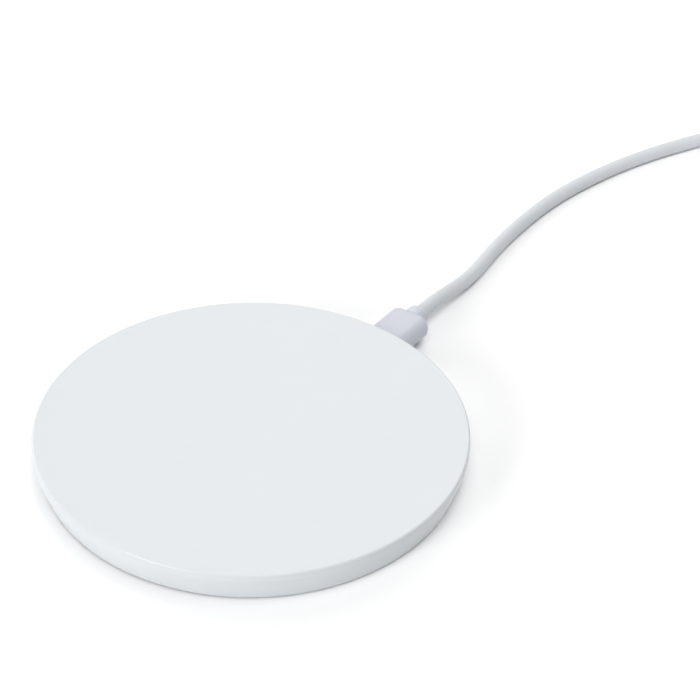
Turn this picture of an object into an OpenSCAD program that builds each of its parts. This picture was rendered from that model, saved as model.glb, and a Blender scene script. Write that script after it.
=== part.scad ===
// Slim round wireless charging pad with a detachable USB lead.
// The pad stands on the XY plane with its centre on the Z axis.
// Its USB-C port opens towards +Y, and the lead lies on the same surface.

/* [Housing] */
// Outside diameter of the pad
pad_d = 100; // [98:1:120]
// Height from the resting surface to the charging face
pad_h = 8.4; // [8.4:0.1:10]
// Radius of the rounded edge round the charging face
rim_fillet = 0.5; // [0.4:0.1:1.4]
// Height of the upright band below that rounded edge
band_h = 1.2; // [0.8:0.1:1.6]
// Radius of the soft turn from the upright band into the tapered side
band_turn_r = 3; // [2:0.5:5]
// Radius of the side's rounded lower edge
lower_edge_r = 0.3; // [0.2:0.1:0.4]
// How far the side draws in from the upright band to its lower edge
side_taper = 1.85; // [1.6:0.05:2.4]
// Thickness of the charging face
top_wall = 1.5; // [1.2:0.1:1.5]
// Thickness of the bottom cover
base_wall = 1.0; // [0.8:0.1:1.2]
// Width of the ledge that the bottom cover seats against
ledge_w = 0.6; // [0.4:0.1:0.8]
// Width of the thin lip round the bottom cover
lip_w = 0.95; // [0.8:0.05:1.2]

/* [Feet and screws] */
// Diameter of a rubber foot
foot_d = 10; // [8:0.5:11]
// Height that the feet stand proud of the bottom cover
foot_proud = 0.4; // [0.4:0.1:0.8]
// Distance of the feet and cover screws inside the pad's edge
foot_inset = 12; // [11:0.5:13]
// Major diameter of a cover screw
cover_screw_d = 2.0; // [1.8:0.1:2.2]
// Major diameter of a circuit board screw
board_screw_d = 1.8; // [1.6:0.1:2.0]

/* [Power transfer] */
// Inside diameter of the transmit coil
coil_id = 21; // [19:0.5:23]
// Number of turns in the transmit coil
coil_turns = 10; // [8:1:10]
// Diameter of the litz wire
litz_d = 1.1; // [0.9:0.05:1.1]
// Diameter of the ferrite shield
ferrite_d = 50; // [48:0.5:50]
// Thickness of the ferrite shield
ferrite_t = 0.9; // [0.6:0.1:0.9]

/* [Port and plug] */
// Offset of the port from the pad's centre line
port_x = 3.5; // [0:0.5:4]
// Width of the plug's grip
grip_w = 11.2; // [10:0.1:12]
// Thickness of the plug's grip
grip_h = 5.7; // [5.2:0.1:6.2]
// Length of the plug's grip
grip_len = 12; // [10:0.1:20]
// Diameter of the ribbed strain relief
collar_d = 5.6; // [4.6:0.1:5.6]
// Length of the ribbed strain relief
collar_len = 2.7; // [2:0.1:6]

/* [Lead] */
// Diameter of the cord
cord_d = 3.7; // [3.2:0.1:3.8]
// Radius of the coil's outermost turn, to the middle of the cord
wind_r = 25.9; // [25:0.1:28]
// Thickness of the hook-and-loop tie
tie_t = 0.4; // [0.3:0.1:0.5]
// Width of the hook-and-loop tie
tie_w = 8; // [6:0.5:12]

/* [Hidden] */
$fn = 96;
cut = 0.5;               // how far a cutting shape runs past a face
white = "#eef1f3";
board_green = "#1f5a3c";
steel = "#b9bcc0";
gold = "#d4af62";
black = "#1c1c1e";

// Heights inside the pad
base_in_z = foot_proud + base_wall;
top_in_z = pad_h - top_wall;
board_t = 0.8;
board_z = base_in_z + 0.6;
board_top_z = board_z + board_t;
film_t = 0.1;
litz_top_z = top_in_z - film_t;
litz_z = litz_top_z - litz_d;
ferrite_z = litz_z - film_t - ferrite_t;

// Radii of the housing
widest_r = pad_d / 2;
base_edge_r = widest_r - side_taper;
base_cover_r = base_edge_r - lip_w - 0.1;
cavity_r = base_edge_r - lip_w - ledge_w;
board_r = cavity_r - 0.8;
board_front_y = 14;

// Cover screws and feet, on a square
screw_r = widest_r - foot_inset;
screw_angles = [45, 135, 225, 315];
foot_socket_t = 0.4;
head_h = 0.65;
cover_head_d = 4;
cover_boss_d = 5.4;
cover_seat_d = cover_boss_d + 1;
cover_seat_z = base_in_z + 1;
cover_head_z = foot_proud + foot_socket_t + 0.05 + head_h;

// Circuit board screws
board_screw_spots = [[-34, 18], [34, 18], [-18, 38]];
board_head_d = 3.2;
board_head_h = 0.5;
board_boss_d = 4.4;

// Locating rib round the ferrite shield, with a gap for the coil's leads
rib_in_r = ferrite_d / 2 + 1;
rib_out_r = rib_in_r + 1;
rib_drop = 1.1;
lead_gap_x = [-12, 2];
lead_slot_x = [-4.2, 0.2];
support_r = 18;
support_angles = [210, 270, 330];

// Transmit coil
litz_pitch = litz_d + 0.05;
coil_in_r = coil_id / 2;
coil_out_r = coil_in_r + (coil_turns - 1) * litz_pitch + litz_d;
litz_mid_z = litz_z + litz_d / 2;
lead_d = 1.0;

// USB-C port, from the receptacle's mouth inwards
port_h = 3.2;
port_w = 9.05;
port_wall = 0.3;
port_z = board_top_z + port_h / 2;
mouth_y = widest_r - 1;
port_back_y = mouth_y - 7.5;
port_base_y = mouth_y - 6.2;
tongue_w = 6.7;
tongue_h = 0.7;
tongue_tip_y = port_base_y + 4.45;
tab_w = 1.0;
tab_ys = [port_back_y + 1, mouth_y - 4.6];
pin_count = 12;
pin_pitch = 0.5;
pin_w = 0.25;
pin_t = 0.05;

// USB-C plug
grip_y = widest_r + 0.3;
shell_w = 8.25;
shell_h = 2.4;
shell_wall = 0.25;
shell_tip_y = grip_y - 6.65;
shell_root_y = grip_y + 2;
insert_gap = 0.05;
slot_w = 7.0;
slot_h = 1.5;
slot_end_y = tongue_tip_y + 0.4;
collar_y = grip_y + grip_len;
cord_y = collar_y + collar_len;

// Coil of spare cord: two layers, each with its turns side by side
cord_r = cord_d / 2;
cord_low_z = 1.9;
wind_centre = [port_x + 51.5, cord_y + 137];
lower_turns = 3.2;
upper_turns = 3;
rise_turns = 0.2;
entry_angle = 150;
exit_angle = entry_angle - 360 * (lower_turns + rise_turns + upper_turns);
wind_in_r = wind_r - lower_turns * cord_d;
wind_top_r = wind_in_r + upper_turns * cord_d;
wind_low_z = tie_t + cord_r;
wind_high_z = wind_low_z + cord_d;
tie_angle = 250;

// The cord's way from the plug to the coil: distance across and along from
// the end of the strain relief, and height above the resting surface
cord_steps = [
  [0, 0, port_z], [0, 4, port_z], [-0.1, 9, 4.0], [-0.1, 14, 3.3], [0, 20, 2.5],
  [-0.1, 26, 2.1], [-1, 33, cord_low_z], [-1.9, 40, cord_low_z], [-2.5, 48, cord_low_z],
  [-2.7, 56, cord_low_z], [-2.6, 64, cord_low_z], [-2, 72, cord_low_z],
  [-0.8, 80, cord_low_z], [1.1, 89, cord_low_z], [3.9, 99, cord_low_z],
  [7.5, 109, cord_low_z], [11.5, 118, cord_low_z], [16, 127, cord_low_z],
  [20.5, 135, cord_low_z], [24.9, 142.6, 2.1]
];
coil_entry = [for (a = [entry_angle]) [
  wind_centre.x + wind_r * cos(a), wind_centre.y + wind_r * sin(a), wind_low_z
]];
cord_route = concat([for (p = cord_steps) [port_x + p.x, cord_y + p.y, p.z]], coil_entry);

// USB-A plug beside the coil, pointing back along -Y, and the cord's way to it
usb_a_x = wind_centre.x + 26;
usb_a_relief_y = wind_centre.y - 19;
usb_a_relief_len = 8;
usb_a_grip_y = usb_a_relief_y - usb_a_relief_len;
usb_a_grip_len = 22;
usb_a_grip_w = 16;
usb_a_grip_h = 7.8;
usb_a_z = usb_a_grip_h / 2;
usb_a_face_y = usb_a_grip_y - usb_a_grip_len;
usb_a_w = 12;
usb_a_h = 4.5;
usb_a_wall = 0.3;
usb_a_corner = 0.7;
usb_a_tip_y = usb_a_face_y - 12;
usb_a_root_y = usb_a_face_y + 2;
usb_a_tongue_h = 1.84;
coil_exit = [for (a = [exit_angle]) [
  wind_centre.x + wind_top_r * cos(a), wind_centre.y + wind_top_r * sin(a), wind_high_z
]];
tail_steps = [[-0.4, 17, 5.7], [0, 11, 5.0], [0, 4, usb_a_z], [0, 0, usb_a_z]];
tail_route = concat(coil_exit, [for (p = tail_steps) [usb_a_x + p.x, usb_a_relief_y + p.y, p.z]]);

// ---- Shared shapes ----

// Rounded rectangle about the origin
module round_rect(w, h, r) {
  square([w - 2 * r, h], center = true);
  if (h > 2 * r) square([w, h - 2 * r], center = true);
  for (sx = [-1, 1], sz = h > 2 * r ? [-1, 1] : [0])
    translate([sx * (w / 2 - r), sz * (h / 2 - r)]) circle(r);
}

// Bar with a rounded rectangular section that runs along Y
module bar(x, z, w, h, r, y0, y1) {
  translate([x, y1, z]) rotate([90, 0, 0]) linear_extrude(y1 - y0) round_rect(w, h, r);
}

// Tube with a rounded rectangular section that runs along Y
module tube_bar(x, z, w, h, r, wall, y0, y1) {
  difference() {
    bar(x, z, w, h, r, y0, y1);
    bar(x, z, w - 2 * wall, h - 2 * wall, r - wall, y0 - cut, y1 + cut);
  }
}

// Block that stands on height z, centred on x and y
module block(x, y, z, size) {
  translate([x - size.x / 2, y - size.y / 2, z]) cube(size);
}

// Round wire through a list of points
module wire(points, d) {
  for (i = [0 : len(points) - 2]) {
    way = points[i + 1] - points[i];
    flat = norm([way.x, way.y]);
    translate(points[i]) rotate([0, atan2(flat, way.z), atan2(way.y, way.x)])
      cylinder(h = norm(way), d = d, $fn = 32);
  }
  for (i = [1 : len(points) - 2]) translate(points[i]) sphere(d = d, $fn = 32);
}

// Self-tapping screw with its head down, resting on height z
module tapping_screw(d, head_d, head_h, length) {
  recess_h = head_h * 0.6;
  recess_w = head_d * 0.14;
  difference() {
    union() {
      translate([0, 0, -head_h]) cylinder(h = head_h, d = head_d);
      cylinder(h = length - d / 2, d = d);
      translate([0, 0, length - d / 2]) cylinder(h = d / 2, d1 = d, d2 = d * 0.4);
    }
    block(0, 0, -head_h - cut, [head_d * 0.55, recess_w, recess_h + cut]);
    block(0, 0, -head_h - cut, [recess_w, head_d * 0.55, recess_h + cut]);
  }
}

// Surface-mount ceramic part with a metal cap at each end
module chip_part(x, y, size, body_colour) {
  cap = size.x * 0.18;
  color(body_colour) block(x, y, board_top_z, [size.x - 2 * cap, size.y, size.z]);
  for (s = [-1, 1])
    color(steel) block(x + s * (size.x - cap) / 2, y, board_top_z, [cap, size.y, size.z]);
}

// Leadless package with metal pads along two or four sides
module leadless_chip(x, y, size, pads, four_sides) {
  pad = [0.3, 0.3, 0.2];
  pitch = size.x * 0.84 / pads;
  color(black) block(x, y, board_top_z, size);
  for (turn = four_sides ? [0, 90] : [0], s = [-1, 1], i = [0 : pads - 1])
    color(steel) translate([x, y, 0]) rotate([0, 0, turn])
      block((i - (pads - 1) / 2) * pitch, s * (size.y + pad.y) / 2, board_top_z, pad);
}

// ---- Housing ----

// Outline of the housing, in section: flat face, rounded rim, upright band, tapered side, rounded lower edge
module housing_section() {
  corner = [base_edge_r, foot_proud];
  rim_z = pad_h - rim_fillet;
  band_z = rim_z - band_h;
  turn_centre = [widest_r - band_turn_r, band_z];
  across = turn_centre - corner;
  slope = atan2(across.y, across.x) - asin(band_turn_r / norm(across));
  way = [cos(slope), sin(slope)];
  turn_end = corner + way * sqrt(pow(norm(across), 2) - pow(band_turn_r, 2));
  edge_reach = lower_edge_r * tan(slope / 2);
  polygon([
    [0, foot_proud], corner - [edge_reach, 0], corner + way * edge_reach, turn_end,
    [widest_r, band_z], [widest_r, rim_z], [widest_r - rim_fillet, pad_h], [0, pad_h],
  ]);
  translate(corner + [-edge_reach, lower_edge_r]) circle(lower_edge_r);
  translate([widest_r - rim_fillet, rim_z]) circle(rim_fillet);
  intersection() {
    translate(turn_centre) circle(band_turn_r);
    translate([turn_centre.x, turn_end.y]) square([band_turn_r + cut, band_z - turn_end.y]);
  }
}

module port_opening() {
  bar(port_x, port_z, port_w + 0.55, port_h + 0.55, (port_h + 0.55) / 2, cavity_r - 3, widest_r + cut);
}

module boss(x, y, z0, d) {
  translate([x, y, z0]) cylinder(h = top_in_z - z0 + 0.01, d = d);
}

module pilot_hole(x, y, z0, d) {
  translate([x, y, z0 - cut]) cylinder(h = top_in_z - 0.6 - z0 + cut, d = d);
}

module top_cover() {
  color(white) difference() {
    union() {
      difference() {
        rotate_extrude() intersection() {
          housing_section();
          square([widest_r + cut, pad_h + cut]);
        }
        translate([0, 0, foot_proud - cut])
          cylinder(h = top_in_z - foot_proud + cut, r = cavity_r);
        translate([0, 0, foot_proud - cut])
          cylinder(h = base_wall + cut, r = base_cover_r + 0.1);
      }
      for (a = screw_angles)
        boss(screw_r * cos(a), screw_r * sin(a), cover_seat_z, cover_boss_d);
      for (p = board_screw_spots) boss(p.x, p.y, board_top_z, board_boss_d);
      difference() {
        translate([0, 0, top_in_z - rib_drop]) cylinder(h = rib_drop + 0.01, r = rib_out_r);
        translate([0, 0, top_in_z - rib_drop - cut]) cylinder(h = rib_drop + cut, r = rib_in_r);
        translate([lead_gap_x[0], 0, top_in_z - rib_drop - cut])
          cube([lead_gap_x[1] - lead_gap_x[0], rib_out_r + cut, rib_drop + cut]);
      }
    }
    for (a = screw_angles)
      pilot_hole(screw_r * cos(a), screw_r * sin(a), cover_seat_z, cover_screw_d * 0.9);
    for (p = board_screw_spots) pilot_hole(p.x, p.y, board_top_z, board_screw_d * 0.9);
    port_opening();
  }
}

module bottom_cover() {
  color(white) difference() {
    union() {
      translate([0, 0, foot_proud]) cylinder(h = base_wall, r = base_cover_r);
      for (a = screw_angles) translate([screw_r * cos(a), screw_r * sin(a), foot_proud])
        cylinder(h = cover_seat_z - foot_proud, d = cover_seat_d);
      for (a = support_angles) translate([support_r * cos(a), support_r * sin(a), foot_proud])
        cylinder(h = ferrite_z - 0.1 - foot_proud, d = 4);
    }
    for (a = screw_angles) translate([screw_r * cos(a), screw_r * sin(a), 0]) {
      cylinder(h = foot_proud + foot_socket_t, d = foot_d + 0.2);
      cylinder(h = cover_head_z, d = cover_head_d + 0.4);
      cylinder(h = cover_seat_z + cut, d = cover_screw_d + 0.3);
    }
  }
}

module rubber_feet() {
  color("#dfe3e6") for (a = screw_angles)
    translate([screw_r * cos(a), screw_r * sin(a), 0]) rotate_extrude() polygon([
      [0, 0], [foot_d / 2 - 0.3, 0], [foot_d / 2, 0.3],
      [foot_d / 2, foot_proud + foot_socket_t], [0, foot_proud + foot_socket_t]
    ]);
}

module cover_screws() {
  color(steel) for (a = screw_angles)
    translate([screw_r * cos(a), screw_r * sin(a), cover_head_z])
      tapping_screw(cover_screw_d, cover_head_d, head_h, top_in_z - 1 - cover_head_z);
}

// ---- Circuit board ----

module board_screws() {
  color(steel) for (p = board_screw_spots) translate([p.x, p.y, board_z])
    tapping_screw(board_screw_d, board_head_d, board_head_h, top_in_z - 1 - board_z);
}

// Four tabs that hold the receptacle in slots in the board
module receptacle_tabs(gap) {
  for (s = [-1, 1], y = tab_ys)
    block(port_x + s * (port_w - port_wall) / 2, y, board_z - 0.2 - gap,
      [port_wall + 2 * gap, tab_w + 2 * gap, port_h / 2 + board_t + 0.2 + 2 * gap]);
}

module circuit_board() {
  color(board_green) difference() {
    intersection() {
      translate([0, 0, board_z]) cylinder(h = board_t, r = board_r);
      translate([-board_r, board_front_y, board_z]) cube([2 * board_r, board_r, board_t]);
    }
    for (a = screw_angles) translate([screw_r * cos(a), screw_r * sin(a), board_z - cut])
      cylinder(h = board_t + 2 * cut, d = cover_seat_d + 1);
    for (p = board_screw_spots) translate([p.x, p.y, board_z - cut])
      cylinder(h = board_t + 2 * cut, d = board_screw_d + 0.4);
    receptacle_tabs(0.15);
  }
}

module controller_chip() {
  leadless_chip(12, 30, [6, 6, 0.9], 8, true);
}

module power_mosfets() {
  for (i = [0 : 3]) leadless_chip(-11 + 4.7 * i, 32.2, [3.3, 3.3, 0.9], 4, false);
}

module resonance_capacitors() {
  for (x = [-20.4, -15.2], y = [26.4, 30.6]) chip_part(x, y, [4.5, 3.2, 1.4], "#c9a57c");
}

module input_capacitors() {
  for (i = [0 : 2]) chip_part(11.5 + 4 * i, 37.8 - 0.8 * i, [3.2, 2.5, 1.5], "#b08d63");
}

module power_inductor() {
  color("#3a3b3f") {
    block(-8.5, 38.6, board_top_z, [5, 5, 2.4]);
    translate([-8.5, 38.6, board_top_z + 2.4]) cylinder(h = 0.3, d = 3.8);
  }
}

module crystal_oscillator() {
  color(steel) block(19.2, 30.4, board_top_z, [3.2, 2.5, 0.7]);
}

module chip_resistors() {
  for (i = [0 : 5]) chip_part(3.5 + 2.6 * i, 24, [1.6, 0.8, 0.5], black);
  for (i = [0 : 4]) chip_part(5 + 2.6 * i, 21.5, [1.6, 0.8, 0.5], black);
  for (i = [0 : 3]) chip_part(-31.5, 20.5 + 1.6 * i, [1.6, 0.8, 0.5], black);
}

// ---- USB-C port ----

module receptacle_shell() {
  color(steel) {
    tube_bar(port_x, port_z, port_w, port_h, port_h / 2, port_wall, port_back_y, mouth_y);
    receptacle_tabs(0);
  }
}

module receptacle_tongue() {
  inner_w = port_w - 2 * port_wall - 0.1;
  inner_h = port_h - 2 * port_wall - 0.1;
  color(black) {
    bar(port_x, port_z, inner_w, inner_h, inner_h / 2, port_back_y, port_base_y);
    bar(port_x, port_z, tongue_w, tongue_h, 0.2, port_base_y - 0.1, tongue_tip_y);
  }
}

module receptacle_contacts() {
  first_x = port_x - (pin_count - 1) / 2 * pin_pitch;
  tail_l = 0.9;
  color(gold) for (i = [0 : pin_count - 1]) {
    for (s = [-1, 1]) block(first_x + i * pin_pitch, (port_base_y + tongue_tip_y) / 2,
      port_z + s * (tongue_h + pin_t) / 2 - pin_t / 2, [pin_w, 3.6, pin_t]);
    block(first_x + i * pin_pitch, port_back_y - tail_l / 2, board_top_z, [pin_w, tail_l, 0.15]);
  }
}

// ---- Coil assembly ----

// Slot for the coil's inner lead and the thermistor's wires
module lead_slot(z0, z1) {
  translate([lead_slot_x[0], 7.9, z0]) cube([lead_slot_x[1] - lead_slot_x[0], ferrite_d / 2, z1 - z0]);
}

module transmit_coil() {
  web_h = litz_d * 0.6;
  color("#b5763a") translate([0, 0, litz_mid_z]) rotate_extrude() {
    for (i = [0 : coil_turns - 1])
      translate([coil_in_r + litz_d / 2 + i * litz_pitch, 0]) circle(d = litz_d, $fn = 32);
    translate([coil_in_r + litz_d / 2, -web_h / 2])
      square([coil_out_r - coil_in_r - litz_d, web_h]);
  }
}

module coil_leads() {
  slot_z = ferrite_z + ferrite_t / 2;
  pad_z = board_top_z + lead_d / 2;
  pad_y = 27.3;
  inner = [[-6.6, 9, litz_mid_z], [-3.2, 9, litz_mid_z], [-3.2, 9, slot_z],
    [-3.2, pad_y, slot_z], [-3.2, pad_y, pad_z], [-3.2, pad_y + 1.6, pad_z]];
  outer = [[-8, 19.8, litz_mid_z], [-8, pad_y, litz_mid_z], [-8, pad_y, pad_z],
    [-8, pad_y + 1.6, pad_z]];
  color("#c98a4b") {
    wire(inner, lead_d);
    wire(outer, lead_d);
  }
}

module ferrite_shield() {
  color("#2b2b2e") difference() {
    translate([0, 0, ferrite_z]) cylinder(h = ferrite_t, d = ferrite_d);
    lead_slot(ferrite_z - cut, ferrite_z + ferrite_t + cut);
  }
}

module film_ring(z) {
  difference() {
    translate([0, 0, z]) cylinder(h = film_t, r = coil_out_r);
    translate([0, 0, z - cut]) cylinder(h = film_t + 2 * cut, r = coil_in_r);
  }
}

module coil_adhesive() {
  color("#e8dcb8") difference() {
    film_ring(litz_z - film_t);
    lead_slot(litz_z - film_t - cut, litz_z + cut);
  }
}

module cover_adhesive() {
  color("#e8dcb8") film_ring(litz_top_z);
}

module thermistor() {
  bead_z = litz_z + 0.6;
  color("#26354f") translate([-0.9, 3, litz_z]) cylinder(h = top_in_z - litz_z, d = 2.2);
  color(steel) for (x = [-1.4, -0.4])
    wire([[x, 3.5, bead_z], [x, 9, bead_z], [x, 9, ferrite_z + 0.3], [x, 17, ferrite_z + 0.3],
      [x, 17, board_top_z + 0.2], [x, 18, board_top_z + 0.2]], 0.4);
}

// ---- USB-C plug ----

module plug_shell() {
  color(steel)
    tube_bar(port_x, port_z, shell_w, shell_h, shell_h / 2, shell_wall, shell_tip_y, shell_root_y);
}

module plug_insert() {
  w = shell_w - 2 * shell_wall - 2 * insert_gap;
  h = shell_h - 2 * shell_wall - 2 * insert_gap;
  color(black) difference() {
    bar(port_x, port_z, w, h, h / 2, shell_tip_y + 0.15, shell_root_y);
    bar(port_x, port_z, slot_w, slot_h, 0.1, shell_tip_y - cut, slot_end_y);
  }
}

module plug_contacts() {
  first_x = port_x - (pin_count - 1) / 2 * pin_pitch;
  beam_t = 0.12;
  bump_h = 0.3;
  beam_y = [shell_tip_y + 0.6, slot_end_y];
  color(gold) for (i = [0 : pin_count - 1], s = [0, 1])
    translate([first_x + i * pin_pitch, 0, port_z]) mirror([0, 0, s]) {
      block(0, (beam_y[0] + beam_y[1]) / 2, slot_h / 2 - beam_t,
        [pin_w, beam_y[1] - beam_y[0], beam_t]);
      block(0, beam_y[0] + 0.5, slot_h / 2 - bump_h, [pin_w, 0.6, bump_h]);
    }
}

module plug_overmold() {
  round_end = 1.2;
  body_end_y = collar_y - round_end;
  color(white) difference() {
    union() {
      bar(port_x, port_z, grip_w, grip_h, grip_h / 2, grip_y, body_end_y);
      hull($fn = 32) {
        bar(port_x, port_z, grip_w, grip_h, grip_h / 2, body_end_y - 0.01, body_end_y);
        bar(port_x, port_z, grip_w - 0.7, grip_h - 0.7, grip_h / 2 - 0.35,
          collar_y - 0.4, collar_y - 0.35);
        bar(port_x, port_z, grip_w - 2, grip_h - 2, grip_h / 2 - 1, collar_y - 0.05, collar_y);
      }
    }
    bar(port_x, port_z, shell_w, shell_h, shell_h / 2, grip_y - cut, shell_root_y);
  }
}

module strain_relief_collar() {
  rib_gap = 0.3;
  ribs = 3;
  rib_pitch = collar_len / ribs;
  color(white) translate([port_x, cord_y, port_z]) rotate([90, 0, 0]) {
    cylinder(h = collar_len, d = collar_d - 0.5);
    for (i = [0 : ribs - 1]) translate([0, 0, i * rib_pitch + rib_gap / 2])
      cylinder(h = rib_pitch - rib_gap, d = collar_d);
  }
}

// ---- Cord ----

function unit(v) = v / norm(v);
function way_at(route, i) =
  unit(route[min(i + 1, len(route) - 1)] - route[max(i - 1, 0)]);
function ring_at(route, i, sides) =
  let (ahead = way_at(route, i), side = unit(cross([0, 0, 1], ahead)), up = cross(ahead, side))
  [for (k = [0 : sides - 1])
    route[i] + cord_r * (cos(360 * k / sides) * side + sin(360 * k / sides) * up)];

// Tube that follows a route, with flat ends
module cord_tube(route) {
  sides = 8;
  rings = len(route);
  points = [for (i = [0 : rings - 1]) each ring_at(route, i, sides)];
  skin = [for (i = [0 : rings - 2], k = [0 : sides - 1])
    let (a = i * sides + k, b = i * sides + (k + 1) % sides) [a, b, b + sides, a + sides]];
  first_end = [for (k = [sides - 1 : -1 : 0]) k];
  last_end = [for (k = [0 : sides - 1]) (rings - 1) * sides + k];
  polyhedron(points, concat([first_end, last_end], skin), convexity = 6);
}

module power_cord() {
  color(white) cord_tube(cord_route);
}

module cord_tail() {
  color(white) cord_tube(tail_route);
}

// Outline of the coiled cord in section, grown by a margin
module wind_section(grow) {
  w = wind_r - wind_in_r + cord_d;
  h = 2 * cord_d;
  translate([(wind_r + wind_in_r) / 2, tie_t + h / 2])
    round_rect(w + 2 * grow, h + 2 * grow, cord_r + grow);
}

module cord_coil() {
  color(white) translate([wind_centre.x, wind_centre.y, 0]) rotate_extrude() wind_section(0);
}

module cord_tie() {
  color("#d5d8db") translate([wind_centre.x, wind_centre.y, 0]) rotate([0, 0, tie_angle])
    intersection() {
      rotate_extrude() difference() {
        wind_section(tie_t);
        wind_section(0);
      }
      translate([0, -tie_w / 2, -cut]) cube([2 * wind_r, tie_w, 4 * cord_d]);
    }
}

// ---- USB-A plug ----

module usb_a_strain_relief() {
  color(white) translate([usb_a_x, usb_a_relief_y, usb_a_z]) rotate([90, 0, 0]) {
    cylinder(h = usb_a_relief_len, d1 = cord_d + 0.9, d2 = cord_d + 2.6);
    for (i = [1 : 3]) translate([0, 0, i * 2 - 0.5])
      cylinder(h = 0.8, d = cord_d + 1.5 + 0.45 * i);
  }
}

module usb_a_overmold() {
  corner = 2.2;
  round_end = 1.5;
  color(white) difference() {
    union() {
      bar(usb_a_x, usb_a_z, usb_a_grip_w, usb_a_grip_h, corner, usb_a_face_y,
        usb_a_grip_y - round_end);
      hull($fn = 32) {
        bar(usb_a_x, usb_a_z, usb_a_grip_w, usb_a_grip_h, corner,
          usb_a_grip_y - round_end - 0.01, usb_a_grip_y - round_end);
        bar(usb_a_x, usb_a_z, usb_a_grip_w - 2.4, usb_a_grip_h - 2, corner - 0.8,
          usb_a_grip_y - 0.05, usb_a_grip_y);
      }
    }
    bar(usb_a_x, usb_a_z, usb_a_w, usb_a_h, usb_a_corner, usb_a_face_y - cut, usb_a_root_y);
  }
}

module usb_a_shell() {
  hole = 2.2;
  color(steel) difference() {
    tube_bar(usb_a_x, usb_a_z, usb_a_w, usb_a_h, usb_a_corner, usb_a_wall, usb_a_tip_y, usb_a_root_y);
    for (s = [-1, 1]) block(usb_a_x + s * 2.8, usb_a_tip_y + 6.4, usb_a_z - usb_a_h / 2 - cut,
      [hole, hole, usb_a_h + 2 * cut]);
  }
}

module usb_a_insert() {
  w = usb_a_w - 2 * usb_a_wall - 0.1;
  h = usb_a_h - 2 * usb_a_wall - 0.1;
  tongue_w = w - 2 * (usb_a_corner - usb_a_wall);
  tongue_l = usb_a_face_y - usb_a_tip_y - 1.6;
  color(white) {
    bar(usb_a_x, usb_a_z, w, h, usb_a_corner - usb_a_wall, usb_a_root_y - 3.2, usb_a_root_y);
    block(usb_a_x, usb_a_face_y - tongue_l / 2, usb_a_z - h / 2, [tongue_w, tongue_l, usb_a_tongue_h]);
  }
}

module usb_a_contacts() {
  tongue_top_z = usb_a_z - (usb_a_h - 2 * usb_a_wall - 0.1) / 2 + usb_a_tongue_h;
  outer_l = 7.4;
  inner_l = 6.4;
  end_y = usb_a_face_y - 1.2;
  color(gold) {
    for (x = [-3.5, 3.5])
      block(usb_a_x + x, end_y - outer_l / 2, tongue_top_z, [1, outer_l, 0.12]);
    for (x = [-1, 1])
      block(usb_a_x + x, end_y - inner_l / 2, tongue_top_z, [1, inner_l, 0.12]);
  }
}

top_cover();
bottom_cover();
rubber_feet();
cover_screws();
board_screws();
circuit_board();
controller_chip();
power_mosfets();
resonance_capacitors();
input_capacitors();
power_inductor();
crystal_oscillator();
chip_resistors();
receptacle_shell();
receptacle_tongue();
receptacle_contacts();
transmit_coil();
coil_leads();
ferrite_shield();
coil_adhesive();
cover_adhesive();
thermistor();
plug_shell();
plug_insert();
plug_contacts();
plug_overmold();
strain_relief_collar();
power_cord();
cord_coil();
cord_tail();
cord_tie();
usb_a_strain_relief();
usb_a_overmold();
usb_a_shell();
usb_a_insert();
usb_a_contacts();
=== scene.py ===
"""Slim round wireless charging pad with a USB lead: camera, light, materials and detailed pieces."""
from math import ceil, cos, floor, hypot, pi, radians, sin, sqrt

import bmesh
import bpy
from mathutils import Matrix, Vector


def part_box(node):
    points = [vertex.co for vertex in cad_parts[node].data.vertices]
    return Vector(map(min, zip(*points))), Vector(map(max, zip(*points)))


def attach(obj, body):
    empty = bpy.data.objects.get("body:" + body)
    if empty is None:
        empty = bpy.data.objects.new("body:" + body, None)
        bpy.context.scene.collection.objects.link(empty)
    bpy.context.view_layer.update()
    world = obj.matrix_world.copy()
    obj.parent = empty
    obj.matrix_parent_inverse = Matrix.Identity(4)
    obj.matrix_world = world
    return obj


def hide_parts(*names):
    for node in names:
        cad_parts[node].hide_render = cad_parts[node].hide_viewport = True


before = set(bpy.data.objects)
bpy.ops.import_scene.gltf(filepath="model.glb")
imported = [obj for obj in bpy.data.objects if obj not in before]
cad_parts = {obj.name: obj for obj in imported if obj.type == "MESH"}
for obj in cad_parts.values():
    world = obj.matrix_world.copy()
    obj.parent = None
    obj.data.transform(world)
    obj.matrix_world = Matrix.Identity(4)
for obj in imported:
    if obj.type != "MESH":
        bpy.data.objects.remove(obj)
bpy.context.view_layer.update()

mm = 0.001


# ---- Places and sizes, from the frame ----

GRIP_LOW, GRIP_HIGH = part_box("plug_overmold")
COLLAR_LOW, COLLAR_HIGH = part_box("strain_relief_collar")
SHELL_LOW, SHELL_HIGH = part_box("plug_shell")
COIL_LOW, COIL_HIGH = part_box("cord_coil")
RELIEF_LOW, RELIEF_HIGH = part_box("usb_a_strain_relief")
USB_GRIP_LOW, USB_GRIP_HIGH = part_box("usb_a_overmold")
USB_SHELL_LOW, USB_SHELL_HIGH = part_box("usb_a_shell")
PLUG = (SHELL_LOW + SHELL_HIGH) / 2
COIL = (COIL_LOW + COIL_HIGH) / 2
USB = (USB_SHELL_LOW + USB_SHELL_HIGH) / 2


# ---- Camera and stage ----

CAMERA_AZIMUTH = 33.4       # degrees round from looking along +Y
CAMERA_ELEVATION = 36.1
CAMERA_ROLL = 1.816
CAMERA_DISTANCE = 484.1 * mm
CAMERA_AIM = Vector((-5.1, 47.4, 0)) * mm
CAMERA_LENS = 100           # millimetres
SENSOR_WIDTH = 36

FLOOR_SIZE = 12             # metres
FLOOR_WHITE = 0.98

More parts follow.
